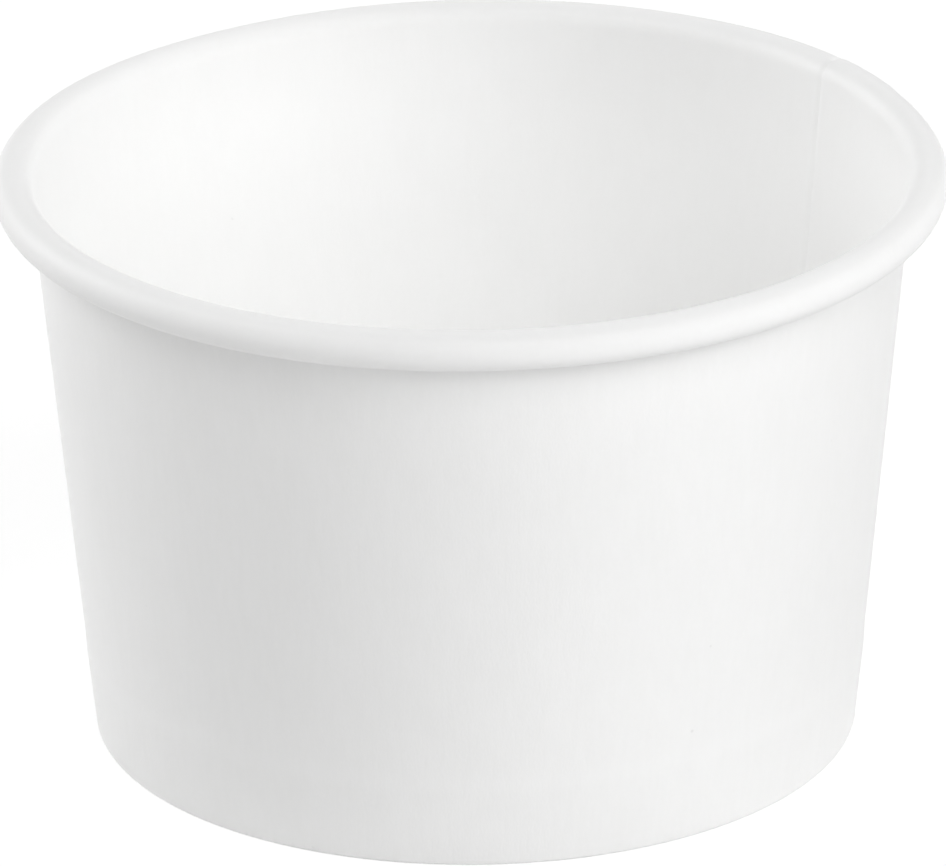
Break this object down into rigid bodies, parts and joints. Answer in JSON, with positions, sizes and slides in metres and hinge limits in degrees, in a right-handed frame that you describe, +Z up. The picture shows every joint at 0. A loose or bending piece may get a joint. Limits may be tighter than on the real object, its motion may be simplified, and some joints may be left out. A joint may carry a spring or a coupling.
{
  "type": "paper sundae cup",
  "caption": "Squat tapered paper cup with a rolled rim curl, a lap-sealed side wall and a base set up inside a hemmed foot ring, for ice cream and other desserts.",
  "frame": {"origin": "Centre of the foot ring, on the surface that the cup stands on.", "axes": "+Z is up along the cup's axis. +X is to the right and +Y to the back in the picture's view. The inner edge of the lap seam is 35.5 degrees from +X toward +Y."},
  "size_m": [0.096, 0.096, 0.0602],
  "materials": {
    "wall_board": "white coated board, satin",
    "base_board": "white coated board, satin"
  },
  "bodies": {
    "root": {"sidewall": "wall_board", "base_disc": "base_board"}
  },
  "joints": []
}
